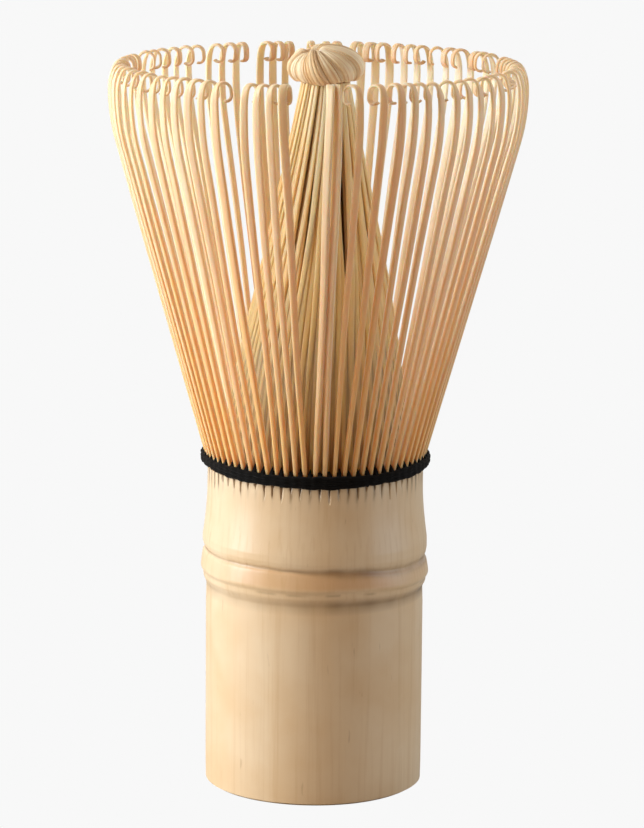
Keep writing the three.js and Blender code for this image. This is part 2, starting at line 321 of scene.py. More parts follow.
def makeBambooEndGrain():
    # sawn bamboo, as on the foot and in the bore: matt, with dark dots where the fibre bundles are cut
    look = cutLook
    material, tree = newMaterial("bambooEndGrain")
    place = addNode(tree, "ShaderNodeTexCoord")
    dots = addNode(tree, "ShaderNodeTexVoronoi", {"Scale": 1 / look["bundleSize"], "Randomness": 0.8},
                   {"Vector": (place, "Object")})
    dotShare = addNode(tree, "ShaderNodeMapRange",
                       {"From Min": 0.16, "From Max": 0.32, "To Min": 0.55, "To Max": 0.0},
                       {"Value": (dots, "Distance")})
    clouds = addNode(tree, "ShaderNodeTexNoise", {"Scale": 350.0, "Detail": 4.0},
                     {"Vector": (place, "Object")})
    ground = addNode(tree, "ShaderNodeValToRGB",
                     {"stops": [(0.3, linearColour(look["cloud"])), (0.7, linearColour(look["ground"]))]},
                     {"Fac": (clouds, "Fac")})
    dotted = addNode(tree, "ShaderNodeMix", {"data_type": "RGBA", 7: linearColour(look["bundle"])},
                     {0: (dotShare, "Result"), 6: (ground, "Color")})
    bump = addNode(tree, "ShaderNodeBump", {"Strength": 0.5, "Distance": 0.1 * mm},
                   {"Height": (clouds, "Fac")})
    shader = addNode(tree, "ShaderNodeBsdfPrincipled", {"Roughness": look["roughness"]},
                     {"Base Color": (dotted, 2), "Normal": (bump, "Normal")})
    addNode(tree, "ShaderNodeOutputMaterial", None, {"Surface": (shader, "BSDF")})
    return material


def makeSplitBamboo(name, look):
    # split bamboo, shaved thin: satin, each tine a little different, with fibres along its length, honey
    # low down and straw at the tips, partly its own tone and partly painted light on the tops, paler on the
    # pith side
    material, tree = newMaterial(name)
    place = addNode(tree, "ShaderNodeTexCoord")
    grain = addNode(tree, "ShaderNodeAttribute", {"attribute_name": "grain"})
    long = addNode(tree, "ShaderNodeMapping", {"Scale": (1, 1, 0.04)}, {"Vector": (grain, "Vector")})
    fibres = addNode(tree, "ShaderNodeTexNoise",
                     {"Scale": 1 / look["fibreWidth"], "Detail": 4.0, "Roughness": 0.6},
                     {"Vector": (long, "Vector")})
    patches = addNode(tree, "ShaderNodeTexNoise", {"Scale": 160.0, "Detail": 2.0},
                      {"Vector": (grain, "Vector")})
    height = addNode(tree, "ShaderNodeSeparateXYZ", None, {"Vector": (place, "Object")})
    # partly painted light: the colour grows paler with height, as if more light reached the tops; the rest
    # is the bamboo's own tone
    risen = addNode(tree, "ShaderNodeMapRange",
                    {"From Min": look["lowAt"], "From Max": look["highAt"]}, {"Value": (height, "Z")})
    tint = addNode(tree, "ShaderNodeAttribute", {"attribute_name": "tint"})
    drift = addNode(tree, "ShaderNodeMath", {"operation": "MULTIPLY_ADD", 1: 0.45, 2: -0.22},
                    {0: (tint, "Fac")})
    patchy = addNode(tree, "ShaderNodeMath", {"operation": "MULTIPLY_ADD", 1: 0.5, 2: -0.25},
                     {0: (patches, "Fac")})
    drifted = addNode(tree, "ShaderNodeMath", {"operation": "ADD"},
                      {0: (risen, "Result"), 1: (drift, "Value")})
    tone = addNode(tree, "ShaderNodeMath", {"operation": "ADD", "use_clamp": True},
                   {0: (drifted, "Value"), 1: (patchy, "Value")})
    ground = addNode(tree, "ShaderNodeValToRGB",
                     {"stops": [(0.0, linearColour(look["low"])), (0.5, linearColour(look["middle"])),
                                (1.0, linearColour(look["high"]))]},
                     {"Fac": (tone, "Value")})
    fibreShare = addNode(tree, "ShaderNodeMapRange",
                         {"From Min": 0.42, "From Max": 0.75, "To Max": look["fibreShare"]},
                         {"Value": (fibres, "Fac")})
    streaked = addNode(tree, "ShaderNodeMix", {"data_type": "RGBA", 7: linearColour(look["streak"])},
                       {0: (fibreShare, "Result"), 6: (ground, "Color")})
    depth = addNode(tree, "ShaderNodeSeparateXYZ", None, {"Vector": (grain, "Vector")})
    pithSide = addNode(tree, "ShaderNodeMapRange",
                       {"From Min": -0.1 * mm, "From Max": 0.15 * mm, "To Max": look["pithShare"]},
                       {"Value": (depth, "Y")})
    sided = addNode(tree, "ShaderNodeMix", {"data_type": "RGBA", 7: linearColour(look["pith"])},
                    {0: (pithSide, "Result"), 6: (streaked, 2)})
    shade = addNode(tree, "ShaderNodeAttribute", {"attribute_name": "shade"})
    shaded = addNode(tree, "ShaderNodeMix", {"data_type": "RGBA", 7: linearColour(look["deep"])},
                     {0: (shade, "Fac"), 6: (sided, 2)})
    rough = addNode(tree, "ShaderNodeMapRange",
                    {"To Min": look["roughness"] - 0.08, "To Max": look["roughness"] + 0.14},
                    {"Value": (fibres, "Fac")})
    bump = addNode(tree, "ShaderNodeBump", {"Strength": 0.5, "Distance": look["fibreDepth"]},
                   {"Height": (fibres, "Fac")})
    shader = addNode(tree, "ShaderNodeBsdfPrincipled",
                     {"Specular IOR Level": 0.4, "Subsurface Weight": look["glow"],
                      "Subsurface Radius": (1.0, 0.6, 0.34), "Subsurface Scale": look["glowDepth"]},
                     {"Base Color": (shaded, 2), "Roughness": (rough, "Result"),
                      "Normal": (bump, "Normal")})
    addNode(tree, "ShaderNodeOutputMaterial", None, {"Surface": (shader, "BSDF")})
    return material


tineLook = {
    "low": "#F1BC7E", "middle": "#F2C597", "high": "#F0D2AE", "streak": "#D9A468", "deep": "#7A4416",
    "pith": "#FFF0DC", "pithShare": 0.65,
    "lowAt": 0.050, "highAt": 0.104, "fibreWidth": 0.22 * mm, "fibreShare": 0.4,
    "fibreDepth": 0.03 * mm, "roughness": 0.48, "glow": 0.6, "glowDepth": 1.4 * mm,
}
pithLook = {
    "low": "#FFCB8A", "middle": "#FFCF96", "high": "#FFDBB0", "streak": "#E5A862", "deep": "#7A3F10",
    "pith": "#FFE6C0", "pithShare": 0.2,
    "lowAt": 0.050, "highAt": 0.108, "fibreWidth": 0.26 * mm, "fibreShare": 0.45,
    "fibreDepth": 0.05 * mm, "roughness": 0.58, "glow": 0.6, "glowDepth": 1.4 * mm,
}
knotLook = {
    **pithLook, "high": "#FFE8C2", "glow": 0.2,
    "fibreWidth": 0.24 * mm, "fibreDepth": 0.09 * mm, "fibreShare": 0.75,
}
threadLook = {"dark": "#040302", "fibreSheen": "#1C1510", "fibreWidth": 0.12 * mm, "roughness": 0.9}


def makeCottonThread():
    # black cotton lacing thread: matt, with lighter brown fibres painted in at random as sheen, standing in
    # for fibres catching the light
    look = threadLook
    material, tree = newMaterial("cottonThread")
    grain = addNode(tree, "ShaderNodeAttribute", {"attribute_name": "grain"})
    long = addNode(tree, "ShaderNodeMapping", {"Scale": (1, 1, 0.15)}, {"Vector": (grain, "Vector")})
    fibres = addNode(tree, "ShaderNodeTexNoise",
                     {"Scale": 1 / look["fibreWidth"], "Detail": 4.0, "Roughness": 0.65},
                     {"Vector": (long, "Vector")})
    # painted sheen: lighter brown fibres at random
    ground = addNode(tree, "ShaderNodeValToRGB",
                     {"stops": [(0.45, linearColour(look["dark"])), (0.8, linearColour(look["fibreSheen"]))]},
                     {"Fac": (fibres, "Fac")})
    bump = addNode(tree, "ShaderNodeBump", {"Strength": 0.9, "Distance": 0.08 * mm},
                   {"Height": (fibres, "Fac")})
    shader = addNode(tree, "ShaderNodeBsdfPrincipled",
                     {"Roughness": look["roughness"], "Specular IOR Level": 0.12, "Sheen Weight": 0.05,
                      "Sheen Roughness": 0.5},
                     {"Base Color": (ground, "Color"), "Normal": (bump, "Normal")})
    addNode(tree, "ShaderNodeOutputMaterial", None, {"Surface": (shader, "BSDF")})
    return material


bambooSkin = makeBambooSkin()
bambooEndGrain = makeBambooEndGrain()
splitTine = makeSplitBamboo("splitTine", tineLook)
splitPith = makeSplitBamboo("splitPith", pithLook)
knotPith = makeSplitBamboo("knotPith", knotLook)
cottonThread = makeCottonThread()
print("materials ready")


culm = {
    "sides": 288,
    "footRadius": 15.5 * mm,  # at the foot and under the thread
    "swell": 0.3 * mm,
    "profile": ((0, -0.06), (3, 0), (27.4, 0), (28.5, -0.08), (29.4, -0.06), (30.0, 0.16), (30.4, 0.36),
                (30.9, 0.4), (31.25, 0.46), (31.5, 0.7), (31.8, 0.76), (32.6, 0.66), (33.4, 0.54),
                (33.9, 0.44), (34.25, 0.14), (34.5, 0.1), (34.8, 0.34), (35.5, 0.5), (36.6, 0.48),
                (38.6, 0.2), (41, -0.04), (43, -0.16), (50, -0.2)),  # height and added radius in mm
    "grooveAt": 34.4 * mm, "lipAt": 31.3 * mm, "hollowAt": 29.5 * mm,
    "grooveTilt": 0.034, "lipTilt": 0.018,  # how much the node leans, as rise over run
    "topOver": 0.15 * mm,  # runs up a little under the thread
    "wall": 3.3 * mm,
    "floor": 30.5 * mm, "floorThickness": 2.6 * mm, "floorDish": (0.5 * mm, 0.6 * mm),  # below and above
    "floorEye": 1 * mm,  # radius of the flat middle of the floor
    "chamfer": 0.35 * mm, "boreChamfer": 0.3 * mm, "fillet": 1 * mm,
    "recessWidth": 2.1 * mm, "recessDepth": 2.4 * mm,  # room for the cone's foot when it sways
    "kerfs": 72, "kerfWidth": 0.36 * mm, "kerfDepth": (0.9 * mm, 2.6 * mm),
    "kerfReach": 1.7 * mm, "kerfLean": 0.12 * mm,
    "frayReach": 6 * mm,
}


def culmRadius(height):
    # the culm's outer radius, with the node's collar, groove, ridge, lip and hollow
    heights, added = zip(*culm["profile"])
    taps = [np.interp(height / mm + shift, heights, added) for shift in (-0.12, -0.04, 0.04, 0.12)]
    return culm["footRadius"] + culm["swell"] + sum(taps) / 4 * mm


def culmHeights(top):
    heights = [culm["chamfer"]]
    while heights[-1] < top:
        near = 28 * mm < heights[-1] < 38 * mm
        heights.append(min(top, heights[-1] + (0.14 * mm if near else 1.2 * mm)))
    return heights


def extrudeRing(radius, height, fromRadius, fromHeight):
    # the selected rim goes up and in or out, as one more ring of the turned wall
    bpy.ops.mesh.extrude_region_move(TRANSFORM_OT_translate={"value": (0, 0, height - fromHeight)})
    if abs(radius - fromRadius) > 1e-9:
        share = radius / fromRadius
        bpy.ops.transform.resize(value=(share, share, 1), center_override=axisPoint)


def makeCulm():
    top = handleTop + culm["topOver"]
    bore = culm["footRadius"] - culm["wall"]
    foot = culm["footRadius"] - culm["chamfer"]
    fillet, boreChamfer = culm["fillet"], culm["boreChamfer"]
    floor, floorTop = culm["floor"], culm["floor"] + culm["floorThickness"]
    dishBelow, dishAbove = culm["floorDish"]
    recess, ledge = bore + culm["recessWidth"], top - culm["recessDepth"]
    deselectAll()
    bpy.ops.mesh.primitive_circle_add(vertices=culm["sides"], radius=foot, location=axisPoint)
    piece = startPiece("culm")
    bpy.ops.mesh.select_mode(type="EDGE")
    rings = [(foot, 0.0)] + [(culmRadius(height), height) for height in culmHeights(top)]
    rings += [(recess, top), (recess, ledge), (bore, ledge), (bore, floorTop + fillet)]
    rings += [(bore - fillet, floorTop), (culm["floorEye"], floorTop - dishAbove)]
    for before, ring in zip(rings, rings[1:]):
        extrudeRing(ring[0], ring[1], before[0], before[1])
    bpy.ops.mesh.edge_face_add()
    # the bore below the node, from the foot's rim inwards and up
    pick(piece, "EDGE", lambda edge: all(v.co.z < 1e-6 for v in edge.verts))
    rings = [(foot, 0.0), (bore + boreChamfer, 0.0), (bore, boreChamfer), (bore, 12 * mm)]
    rings += [(bore, floor - fillet), (bore - fillet, floor), (culm["floorEye"], floor + dishBelow)]
    for before, ring in zip(rings, rings[1:]):
        extrudeRing(ring[0], ring[1], before[0], before[1])
    bpy.ops.mesh.edge_face_add()
    bpy.ops.mesh.select_all(action="SELECT")
    bpy.ops.mesh.normals_make_consistent(inside=False)
    finishPiece(piece)
    cutKerfs(piece, top)
    ageCulm(piece)
    return piece


def cutKerfs(piece, top):
    # one wedge is modelled, and its copies cut the splits between the outer tines
    reach, wallPoint = culm["kerfReach"], (0, -culm["footRadius"], 0)
    deselectAll()
    bpy.ops.mesh.primitive_cube_add(size=1, location=wallPoint)
    wedge = startPiece("kerfWedge")
    bpy.ops.transform.resize(value=(culm["kerfWidth"], 2 * reach, 1), center_override=wallPoint)
    pick(wedge, "FACE", lambda face: face.normal.z < -0.9)
    bpy.ops.transform.resize(value=(0.04, 0.7, 1), center_override=wallPoint)  # down to a point
    finishPiece(wedge)
    cutters = []
    for number in range(culm["kerfs"]):
        cutter = copied(wedge, f"kerfWedge{number}")
        depth = chance.uniform(*culm["kerfDepth"])
        where = points(wedge)
        where[:, 2] = np.where(where[:, 2] > 0, top + 0.1 * mm, top - depth)
        lean = chance.uniform(-culm["kerfLean"], culm["kerfLean"])
        where[:, 0] += np.where(where[:, 2] > top, 0, lean)
        turn = Matrix.Rotation(math.radians((number + 0.5) * 360 / culm["kerfs"]), 3, "Z")
        placePoints(cutter, where @ np.array(turn).T)
        cutters.append(cutter)
    cutter = joined(cutters, "kerfWedges")
    applied(piece, "BOOLEAN", operation="DIFFERENCE", object=cutter, solver="EXACT")
    discard(cutter)
    discard(wedge)


def ageCulm(piece):
    # leans the node, makes the culm a little uneven, and marks where dirt and colour gather and where shade
    # is painted in
    where = points(piece)
    across = np.hypot(where[:, 0], where[:, 1])
    height = where[:, 2].copy()
    outer = smoothStep(culm["footRadius"] - 1.2 * mm, culm["footRadius"] - 0.6 * mm, across)
    nearGroove = np.exp(-((height - culm["grooveAt"]) / (1.9 * mm)) ** 2)
    nearLip = np.exp(-((height - culm["lipAt"]) / (2.0 * mm)) ** 2)
    wobble = np.array([noise.noise(Vector((x * 90, y * 90, 3.1))) for x, y, z in where])
    fine = np.array([noise.noise(Vector((x * 420, y * 420, 7.7 + z * 60))) for x, y, z in where])
    lean = -(nearGroove * culm["grooveTilt"] + nearLip * culm["lipTilt"]) * where[:, 0]
    lean += nearGroove * wobble * 0.35 * mm + nearLip * wobble * 0.3 * mm + nearGroove * fine * 0.14 * mm
    where[:, 2] += lean * outer
    swell = 1 + outer * (wobble * 0.005 + fine * 0.0012)
    where[:, 0] *= swell
    where[:, 1] *= swell
    placePoints(piece, where)
    shadedSide = smoothStep(-5 * mm, 6 * mm, where[:, 0])  # painted shade: the dark mark is wider and deeper on the node's shaded side
    broken = np.clip(0.9 + 0.5 * fine + 0.3 * wobble, 0.5, 1)
    shadeDrop = 0.2 * mm * shadedSide  # painted shade: on the shaded side the groove's dark mark spreads down
    # dirt in the node's groove, widened on the shaded side into painted shade
    grooveDirtAndShade = np.exp(-((height - culm["grooveAt"] + shadeDrop) / ((0.18 + 0.5 * shadedSide) * mm)) ** 2)
    # painted shade: a broken dark line just under the lip
    underLipShade = np.exp(-((height - culm["lipAt"] + 0.3 * mm) / (0.16 * mm)) ** 2)
    # painted shade under the node's ridge, deeper on the shaded side
    hollowShade = np.exp(-((height - culm["hollowAt"]) / (0.7 * mm)) ** 2) * (0.32 + 0.45 * shadedSide)
    # painted shade in the kerfs near the top, and a dark line of it beside each kerf
    kerfShade = smoothStep(43.6 * mm, 46.4 * mm, height) * (1 - smoothStep(15.1 * mm, 15.5 * mm, across))
    along = np.degrees(np.arctan2(where[:, 0], -where[:, 1])) * culm["kerfs"] / 360
    fromKerf = np.abs(along % 1 - 0.5) * math.tau / culm["kerfs"] * culm["footRadius"]
    strength = np.array([chance.uniform(0.1, 0.95) for _ in range(culm["kerfs"])])
    kerfShade = np.maximum(kerfShade, strength[np.floor(along).astype(int) % culm["kerfs"]]
                      * np.exp(-(fromKerf / (0.24 * mm)) ** 2) * smoothStep(43.6 * mm, 45.6 * mm, height))
    # groove dirt plus painted shade under the ridge and the lip
    dirt = (grooveDirtAndShade * 0.62 + hollowShade) * broken + underLipShade * np.clip(1.6 * fine + wobble, 0, 0.35)
    storeValue(piece, "dirt", np.clip(outer * dirt + 0.85 * kerfShade, 0, 1))
    ridge = smoothStep(culm["lipAt"], culm["lipAt"] + mm, height)
    ridge *= 1 - smoothStep(34 * mm, 34.6 * mm, height)
    storeValue(piece, "blush", outer * 0.45 * ridge * np.clip(0.6 + 1.5 * wobble, 0, 1))
    storeValue(piece, "fray", outer * (1 - np.clip((handleTop - height) / culm["frayReach"], 0, 1)))


def dressCulm(piece):
    # skin on the outside, end grain on the foot, in the bore and on the kerfs' walls
    dress(piece, bambooSkin, bambooEndGrain)
    for face in piece.data.polygons:
        across = math.hypot(face.center.x, face.center.y)
        outside = across > culm["footRadius"] - 0.9 * mm and face.center.z > 0.02 * mm
        face.material_index = 0 if outside else 1


handle = makeCulm()
dressCulm(handle)
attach(handle, "handle")
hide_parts("handle")
print("handle ready", len(handle.data.polygons))


strip = {"section": 1 * mm, "round": 0.3, "roundSegments": 3}


def makeStrip(name, length, cuts):
    # a straight strip of unit width and thickness, cut across where it will bend
    deselectAll()
    bpy.ops.mesh.primitive_cube_add(size=strip["section"], location=(0, 0, 0))
    piece = startPiece(name)
    bpy.ops.transform.resize(value=(1, 1, length / strip["section"]), center_override=axisPoint)
    bpy.ops.transform.translate(value=(0, 0, length / 2))
    pick(piece, "EDGE", lambda edge: abs(edge.verts[0].co.z - edge.verts[1].co.z) > length / 2)
    bpy.ops.mesh.bevel(offset=strip["round"] * strip["section"], segments=strip["roundSegments"])
    for cut in cuts:
        bpy.ops.mesh.select_all(action="SELECT")
        bpy.ops.mesh.bisect(plane_co=(0, 0, cut), plane_no=(0, 0, 1))
    return finishPiece(piece, 60)


def bendStrip(piece, line, across, width, thickness, tint):
    # lays a straight strip along a line of points; width and thickness are numbers for each point
    steps = np.linalg.norm(np.diff(line, axis=0), axis=1)
    distance = np.concatenate([[0], np.cumsum(steps)])
    along = np.gradient(line, axis=0)
    along /= np.linalg.norm(along, axis=1)[:, None]
    out = np.cross(across, along)
    out /= np.linalg.norm(out, axis=1)[:, None]
    across = np.cross(along, out)
    rest = points(piece)
    travel = rest[:, 2] * distance[-1] / rest[:, 2].max()

    def at(values):
        return np.stack([np.interp(travel, distance, values[:, axis]) for axis in range(3)], axis=1)

    wide = np.interp(travel, distance, width) / strip["section"]
    thick = np.interp(travel, distance, thickness) / strip["section"]
    sideways, inward = rest[:, 0] * wide, rest[:, 1] * thick
    placePoints(piece, at(line) + at(across) * sideways[:, None] - at(out) * inward[:, None])
    offset = chance.uniform(0, 40) * mm  # no two strips show the same fibres
    storeVector(piece, "grain", np.stack([sideways + offset, inward, travel], axis=1))
    storeValue(piece, "tint", np.full(len(rest), tint))


outer = {
    "rootBottom": handleTop + 0.2 * mm,
    "rootRadius": 15.35 * mm,
    "rootRise": 0.6 * mm,
    "bendRadius": 2.5 * mm, "shoulderRadius": 28 * mm,
    "crookRadius": 6 * mm, "crookTurn": 26,
    "curlRadius": 1.1 * mm, "curlTurn": 150, "drop": 0.7 * mm,
    "tuckRadius": 0.8 * mm, "tuckTurn": (70, 150),  # the last of the curl winds tighter
    "rootWidth": 0.6 * mm, "middleWidth": 0.86 * mm, "tipWidth": 1.2 * mm,
    "rootThickness": 0.9 * mm, "lowThickness": 0.85 * mm, "middleThickness": 0.75 * mm,
    "tipThickness": 0.38 * mm, "solidTip": 0.225 * mm,  # half the thickness of the solid's tip
    "yaw": 14, "curlVary": 0.1, "sway": 0.16 * mm,
    "aside": (38, 24),  # how far the curls turn towards the middle plane, in front and behind
    "asideFrom": 14, "asideFade": (50, 88),  # degrees from that plane
    "facing": 12,  # how far a tine may be turned about its length
    "pair": (0, 5), "pairFacing": -36, "pairLitTint": 0.9,  # two side by side in front, by root azimuth; their pale tint is painted light, as if more light fell on them
    "nudge": {0: 1.2, 5: -1.4},  # degrees added to a tip, by its root's azimuth
    "footShade": 0.25, "curlShade": 0.24,
    "length": 65 * mm, "curlFrom": 57.6 * mm,  # of the straight strip; it is cut finely from there on
    "blendTo": 60 * mm,
}


def solveLean():
    # the lean and straight length that bring the curl's top to the rim and the shoulder to its radius
    rimHeight = max(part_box(name)[1].z for name in frame["nodes"] if name.startswith("outer_tines"))
    rimRadius = (cadBox[1][0] - cadBox[0][0]) / 2
    arcs = outer["bendRadius"] + outer["shoulderRadius"]
    crook = math.sin(math.radians(outer["crookTurn"]))
    curlRise = outer["crookRadius"] * crook + outer["curlRadius"] * (1 - crook) + outer["solidTip"]
    rise = rimHeight - outer["rootBottom"] - outer["rootRise"] - curlRise
    reach = rimRadius - outer["solidTip"] - outer["rootRadius"] - arcs
    straight = math.sqrt(rise * rise + reach * reach - arcs * arcs)
    return math.atan2(reach, rise) + math.atan2(arcs, straight), straight, rimHeight, rimRadius


tineLean, tineStraight, rimHeight, rimRadius = solveLean()


def clumpTines(node):
    # each tine's azimuth at the root and at the rim; near the crown a tine of the solid has two edges
    spots = np.array([vertex.co for vertex in frame["nodes"][node].data.vertices])
    high = spots[spots[:, 2] > rimHeight - 1.2 * mm]
    angles = np.sort(np.degrees(np.arctan2(high[:, 0], -high[:, 1])))
    if angles[-1] - angles[0] > 180:
        angles = np.sort(angles % 360)
    edges = [group.mean() for group in np.split(angles, np.where(np.diff(angles) > 0.5)[0] + 1)]
    tips = [(left + right) / 2 for left, right in zip(edges[0::2], edges[1::2])]
    joint = next(joint for joint in frame["joints"] if joint["child"] == node)
    middle = math.degrees(math.atan2(joint["pos_m"][0], -joint["pos_m"][1]))
    pitch = 360 / culm["kerfs"]
    roots = [middle + (number - (len(tips) - 1) / 2) * pitch for number in range(len(tips))]
    turns = round((np.mean(tips) - middle) / 360) * 360
    nudge = outer["nudge"]
    return [(root, tip - turns + nudge.get(round(root), 0)) for root, tip in zip(roots, tips)]


def tineLine(root, tip, yaw, vary, tuck, facing):
    # the middle line of one outer tine, its across direction and each point's share of the length
    crook, curl = math.radians(outer["crookTurn"]), math.radians(outer["curlTurn"])
    stretches = [  # each one's length and turn
        (outer["rootRise"], 0.0),
        (outer["bendRadius"] * tineLean, tineLean),
        (tineStraight, 0.0),
        (outer["shoulderRadius"] * tineLean, -tineLean),
        (outer["crookRadius"] * crook, -crook),
        (outer["curlRadius"] * curl * vary, -curl),
        (outer["drop"], 0.0),
        (outer["tuckRadius"] * math.radians(tuck), -math.radians(tuck)),
    ]
    step = 0.1 * mm
    radius, height, lean = outer["rootRadius"], outer["rootBottom"], 0.0
    side = 0.0
    drift = math.radians(tip - root) * rimRadius
    swayTurn = chance.uniform(0, math.tau)
    flat = []
    curlStart = sum(length for length, bend in stretches[:4]) + 0.3 * stretches[4][0]
    travelled = 0.0
    for length, bend in stretches:
        count = max(2, round(length / step))
        for _ in range(count):
            lean += bend / count / 2
            twist = math.radians(yaw) * float(smoothStep(curlStart, curlStart + 3 * mm, travelled))
            go = length / count
            radius += go * math.sin(lean) * math.cos(twist)
            side += go * math.sin(lean) * math.sin(twist)
            height += go * math.cos(lean)
            lean += bend / count / 2
            travelled += go
            risen = (height - outer["rootBottom"]) / (rimHeight - outer["rootBottom"])
            bow = outer["sway"] * math.sin(swayTurn + 5.5 * risen)
            bow *= math.sin(math.pi * min(1, max(0, risen)))
            flat.append((radius, side + drift * risen + bow, height, twist, travelled))
    flat = np.array(flat)
    turn = math.radians(root)
    outward = np.array([math.sin(turn), -math.cos(turn), 0])
    sideways = np.array([math.cos(turn), math.sin(turn), 0])
    line = flat[:, 0:1] * outward + flat[:, 1:2] * sideways + flat[:, 2:3] * upward
    face = flat[:, 3:4] + math.radians(facing) * smoothStep(0, 8 * mm, flat[:, 4:5])
    across = np.cos(face) * sideways - np.sin(face) * outward
    return line, across, flat[:, 4] / flat[-1, 4]


def curlAside(azimuth):
    # the curls lean towards the middle plane, most of all in front and to each side of it
    turn = math.radians(azimuth)
    most = outer["aside"][0 if math.cos(turn) > 0 else 1]
    off = math.degrees(math.asin(min(1, abs(math.sin(turn)))))
    share = smoothStep(0, outer["asideFrom"], off) * (1 - smoothStep(*outer["asideFade"], off))
    return math.copysign(most, math.sin(2 * turn)) * float(share)


def makeOuterTines():
    length = outer["length"]
    cuts = [2 * mm, 3 * mm] + [at * 4 * mm for at in range(1, 12)]
    cuts += [(48 + 1.2 * at) * mm for at in range(8)]
    cuts += [outer["curlFrom"] + 0.28 * at * mm for at in range(26)]
    master = makeStrip("tineStrip", length, cuts)
    widths = [outer["rootWidth"], outer["middleWidth"], outer["tipWidth"], outer["tipWidth"] * 0.8]
    thicknesses = [outer["rootThickness"], outer["lowThickness"], outer["middleThickness"],
                   outer["tipThickness"] * 1.3, outer["tipThickness"]]
    nodes = sorted(name for name in frame["nodes"] if name.startswith("outer_tines"))
    for node in nodes:
        tines = []
        for root, tip in clumpTines(node):
            tine = copied(master, "tine")
            vary = 1 + chance.uniform(-1, 1) * outer["curlVary"]
            yaw = chance.uniform(-1, 1) * outer["yaw"] + curlAside(tip)
            paired = round(root) in outer["pair"]
            facing = outer["pairFacing"] if paired else chance.uniform(-1, 1) * outer["facing"]
            tuck = chance.uniform(*outer["tuckTurn"])
            line, across, share = tineLine(root, tip, yaw, vary, tuck, facing)
            width = np.interp(share, [0, 0.3, 0.85, 1], widths) * chance.uniform(0.84, 1.1)
            thickness = np.interp(share, [0, 0.1, 0.6, 0.85, 1], thicknesses)
            # the front pair's pale tint is painted light
            tint = outer["pairLitTint"] if paired else chance.random()
            bendStrip(tine, line, across, width, thickness, tint)
            foot = 1 - smoothStep(48.4 * mm, 51.5 * mm, points(tine)[:, 2])
            curled = smoothStep(0.93, 1, points(master)[:, 2] / length)
            storeValue(tine, "shade", outer["footShade"] * foot + outer["curlShade"] * curled)
            tines.append(tine)
        clump = joined(tines, node.replace("outer_tines_", "outerTines"))
        dress(clump, splitTine)
        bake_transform(clump)
        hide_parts(node)
    discard(master)
    print("outer tines ready", len(nodes), "clumps")


makeOuterTines()


cone = {
    "outline": ((47.6, 12.85), (52, 12.7), (58, 12.1), (67.3, 10.5), (78.2, 8.1), (85.5, 6.6), (95.5, 4.4),
                (99.8, 3.45), (102.4, 3.1)),  # height and radius in mm
    "twist": 20, "scatter": 5, "layer": 0.24 * mm,
    "partings": ((40, 20, 8), (-17, 8, 2.5)),  # gaps by azimuth at the neck, their reach and push in degrees
    "rootWidth": 0.95 * mm, "middleWidth": 0.92 * mm, "neckWidth": 0.66 * mm,
    "rootThickness": 0.8 * mm, "neckThickness": 0.36 * mm,
    "inside": 0.7 * mm,  # how far in the second layer lies
    "roll": 16,
    "aside": 1.0 * mm,  # the tip stands a little right of the handle's axis
    "lowShade": 0.04, "insideShade": (0.28, 0.34),  # the second layer is darker, most of all low down
    "length": 56 * mm,
}
coneHeights, coneRadii = (np.array(column) * mm for column in zip(*cone["outline"]))
coneFit = np.polyfit(coneHeights, coneRadii, 4)


def coneLine(root, layer, scatter):
    # the middle line of one inner tine, from its root up to the neck under the knot
    risen = np.linspace(0, 1, 60)
    height = coneHeights[0] + (coneHeights[-1] - coneHeights[0]) * risen
    radius = np.polyval(coneFit, height) + layer * cone["layer"] * smoothStep(0.15, 0.8, risen)
    parted = 0.0
    for middle, reach, push in cone["partings"]:
        apart = (root + cone["twist"] - middle + 180) % 360 - 180
        parted += push * math.copysign(1, apart) * math.exp(-(apart / reach) ** 2)
    turn = np.radians(root + cone["twist"] * risen ** 3 + (scatter + parted) * smoothStep(0.3, 0.9, risen))
    outward = np.stack([np.sin(turn), -np.cos(turn), np.zeros(60)], axis=1)
    sideways = np.stack([np.cos(turn), np.sin(turn), np.zeros(60)], axis=1)
    line = radius[:, None] * outward + height[:, None] * upward
    line[:, 0] += cone["aside"] * smoothStep(0, 0.6, risen)
    roll = np.radians(cone["roll"]) * smoothStep(0.3, 0.85, risen)[:, None]
    across = np.cos(roll) * sideways + np.sin(roll) * outward
    return line, across, risen


def makeInnerTines():
    length = cone["length"]
    master = makeStrip("coneStrip", length, [at * length / 22 for at in range(1, 22)])
    widths = [cone["rootWidth"], cone["middleWidth"], cone["neckWidth"]]
    thicknesses = [cone["rootThickness"], cone["neckThickness"]]
    nodes = sorted(name for name in frame["nodes"] if name.startswith("inner_tines"))
    pitch = 360 / culm["kerfs"]
    for number, node in enumerate(nodes):
        tines = []
        for step in range(6):
            index = number * 3 + step % 3
            inside = step // 3  # the second layer lies behind the gaps of the first
            tine = copied(master, "tine")
            layer = (index * 2) % 3 - 1 - inside * cone["inside"] / cone["layer"]
            scatter = chance.uniform(-1, 1) * cone["scatter"]
            line, across, share = coneLine((index + 0.5 + 0.5 * inside) * pitch, layer, scatter)
            width = np.interp(share, [0, 0.5, 1], widths) * chance.uniform(0.82, 1.15)
            bendStrip(tine, line, across, width, np.interp(share, [0, 1], thicknesses), chance.random())
            low = 1 - smoothStep(48 * mm, 60 * mm, points(tine)[:, 2])
            everywhere, lowDown = cone["insideShade"]
            storeValue(tine, "shade", cone["lowShade"] * low + inside * (everywhere + lowDown * low))
            tines.append(tine)
        group = joined(tines, node.replace("inner_tines_", "innerTines"))
        dress(group, splitPith)
        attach(group, "cone")
        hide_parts(node)
    discard(master)
    print("inner tines ready", len(nodes), "groups")


makeInnerTines()


